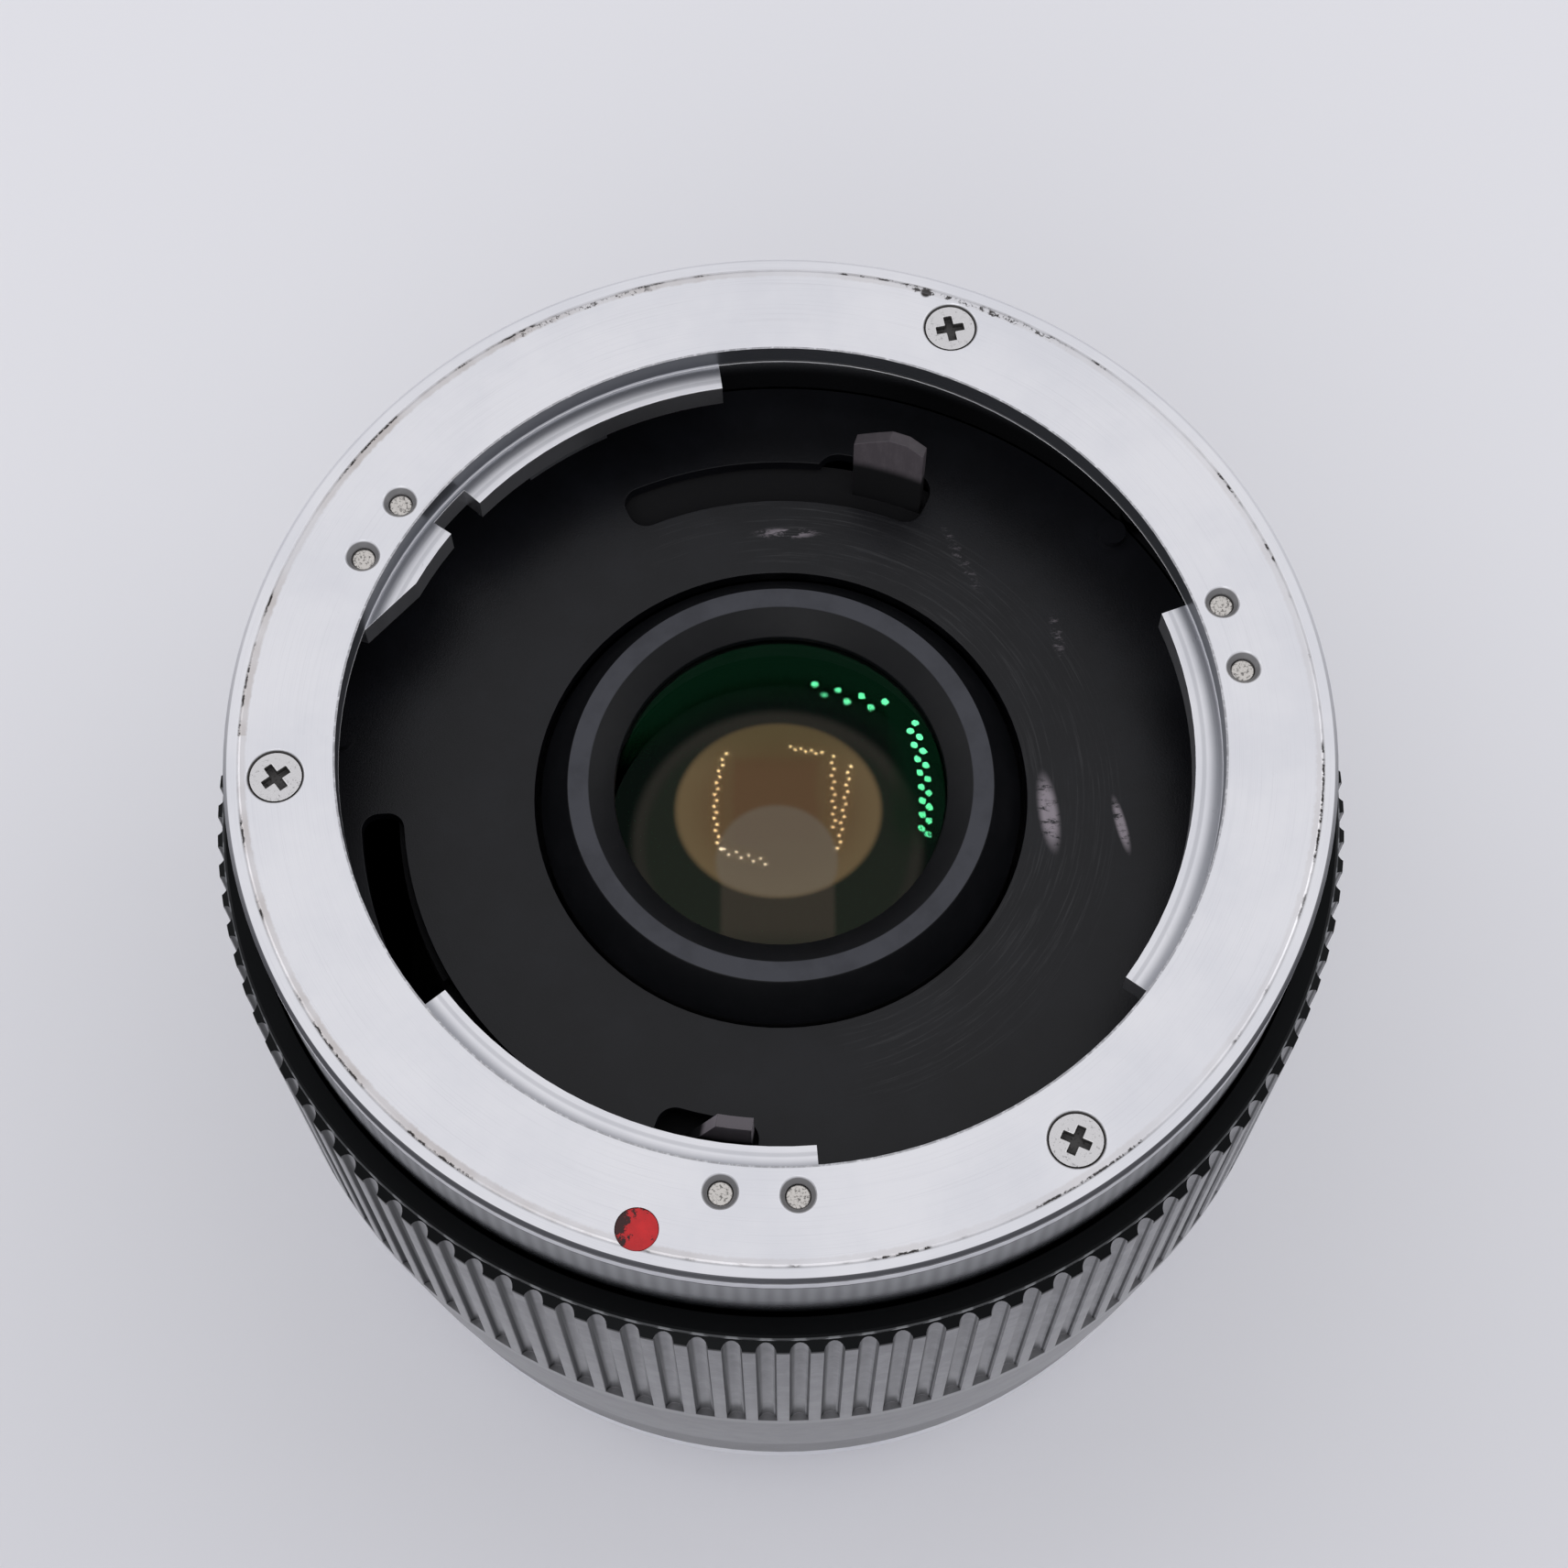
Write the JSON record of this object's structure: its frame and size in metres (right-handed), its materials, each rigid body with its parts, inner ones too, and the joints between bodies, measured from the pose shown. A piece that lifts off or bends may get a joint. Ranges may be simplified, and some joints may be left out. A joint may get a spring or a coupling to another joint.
{
  "type": "camera teleconverter",
  "caption": "Focusing teleconverter: a knurled ring runs the lens-side bayonet out on a helicoid while linked lever rings carry the aperture movements through.",
  "frame": {"origin": "centre of the rear spigot's end, on which the part stands", "axes": "+Z along the optical axis towards the lens mount, -Y towards the side with the red index dot"},
  "size_m": [0.0628, 0.0628, 0.0522],
  "materials": {
    "chrome": "bright chrome plate on brass, lightly satin",
    "screw_steel": "bright turned steel",
    "spring_steel": "spring steel",
    "red_paint": "bright red paint, chipped",
    "gloss_black": "glossy black",
    "matt_black": "matt black",
    "grip_black": "black anodised, with worn edges",
    "satin_black": "satin black",
    "lever_dark": "darkened steel",
    "brass": "plain brass",
    "glass": "coated optical glass, green and amber reflections",
    "cell_black": "satin black with a plain turned edge"
  },
  "bodies": {
    "rear_body": {"rear_lever_hub": "brass", "rear_barrel": "satin_black", "focus_retainer": "spring_steel", "guide_key": "brass", "key_screws": "screw_steel", "rear_bayonet": "chrome", "rear_mount_screws": "screw_steel", "rear_baffle": "matt_black", "lens_plate": "matt_black", "plate_screws": "screw_steel", "lens_tube": "satin_black", "lens_tube_nut": "brass", "front_lens_cell": "cell_black", "rear_lens_ring": "satin_black", "lock_spring": "spring_steel", "lens_1": "glass", "lens_2": "glass", "lens_3": "glass", "lens_4": "glass", "lens_5": "glass", "lens_6": "glass", "lens_7": "glass", "lens_spacer_1": "satin_black", "lens_spacer_2": "satin_black", "lens_spacer_3": "satin_black", "lens_spacer_4": "satin_black"},
    "front_body": {"front_bayonet": "chrome", "front_mount_screws": "screw_steel", "spring_rivets": "screw_steel", "mount_spring_1": "spring_steel", "mount_spring_2": "spring_steel", "mount_spring_3": "spring_steel", "index_dot": "red_paint", "front_barrel": "gloss_black", "front_baffle": "matt_black", "baffle_screws": "screw_steel", "front_lever_hub": "brass"},
    "focus_ring": {"focus_ring": "grip_black"},
    "rear_aperture": {"rear_aperture_ring": "lever_dark"},
    "front_aperture": {"front_aperture_ring": "lever_dark"},
    "rear_stop_down": {"rear_stop_down_ring": "lever_dark"},
    "front_stop_down": {"front_stop_down_ring": "lever_dark"},
    "release_button": {"release_button": "chrome"},
    "lock_pin": {"lock_pin": "screw_steel"}
  },
  "joints": [
    {"name": "focus_turn", "type": "hinge", "parent": "rear_body", "child": "focus_ring", "pos_m": [0, 0, 0.03], "axis": [0, 0, 1], "range_deg": [0, 300]},
    {"name": "front_travel", "type": "slide", "parent": "rear_body", "child": "front_body", "axis": [0, 0, 1], "range_m": [0, 0.02]},
    {"name": "aperture_turn", "type": "hinge", "parent": "rear_body", "child": "rear_aperture", "pos_m": [0, 0, 0.0105], "axis": [0, 0, 1], "range_deg": [0, 36], "stiffness_Nm_per_rad": 0.02},
    {"name": "front_aperture_turn", "type": "hinge", "parent": "front_body", "child": "front_aperture", "pos_m": [0, 0, 0.0425], "axis": [0, 0, 1], "range_deg": [0, 36]},
    {"name": "stop_down_turn", "type": "hinge", "parent": "rear_body", "child": "rear_stop_down", "pos_m": [0, 0, 0.0093], "axis": [0, 0, 1], "range_deg": [-5, 0], "stiffness_Nm_per_rad": 0.02},
    {"name": "front_stop_down_turn", "type": "hinge", "parent": "front_body", "child": "front_stop_down", "pos_m": [0, 0, 0.0413], "axis": [0, 0, 1], "range_deg": [-5, 0]},
    {"name": "release_press", "type": "slide", "parent": "rear_body", "child": "release_button", "axis": [0.7837, -0.6211, 0], "range_m": [0, 0.0016], "stiffness_N_per_m": 300},
    {"name": "lock_lift", "type": "slide", "parent": "rear_body", "child": "lock_pin", "axis": [0, 0, 1], "range_m": [0, 0.0016], "deforming": ["lock_spring"]}
  ],
  "couplings": [
    {"joint": "focus_turn", "follows": "front_travel", "rad_per_m": 261.8},
    {"joint": "front_aperture_turn", "follows": "aperture_turn", "ratio": 1},
    {"joint": "front_stop_down_turn", "follows": "stop_down_turn", "ratio": 1},
    {"joint": "lock_lift", "follows": "release_press", "ratio": 1}
  ]
}
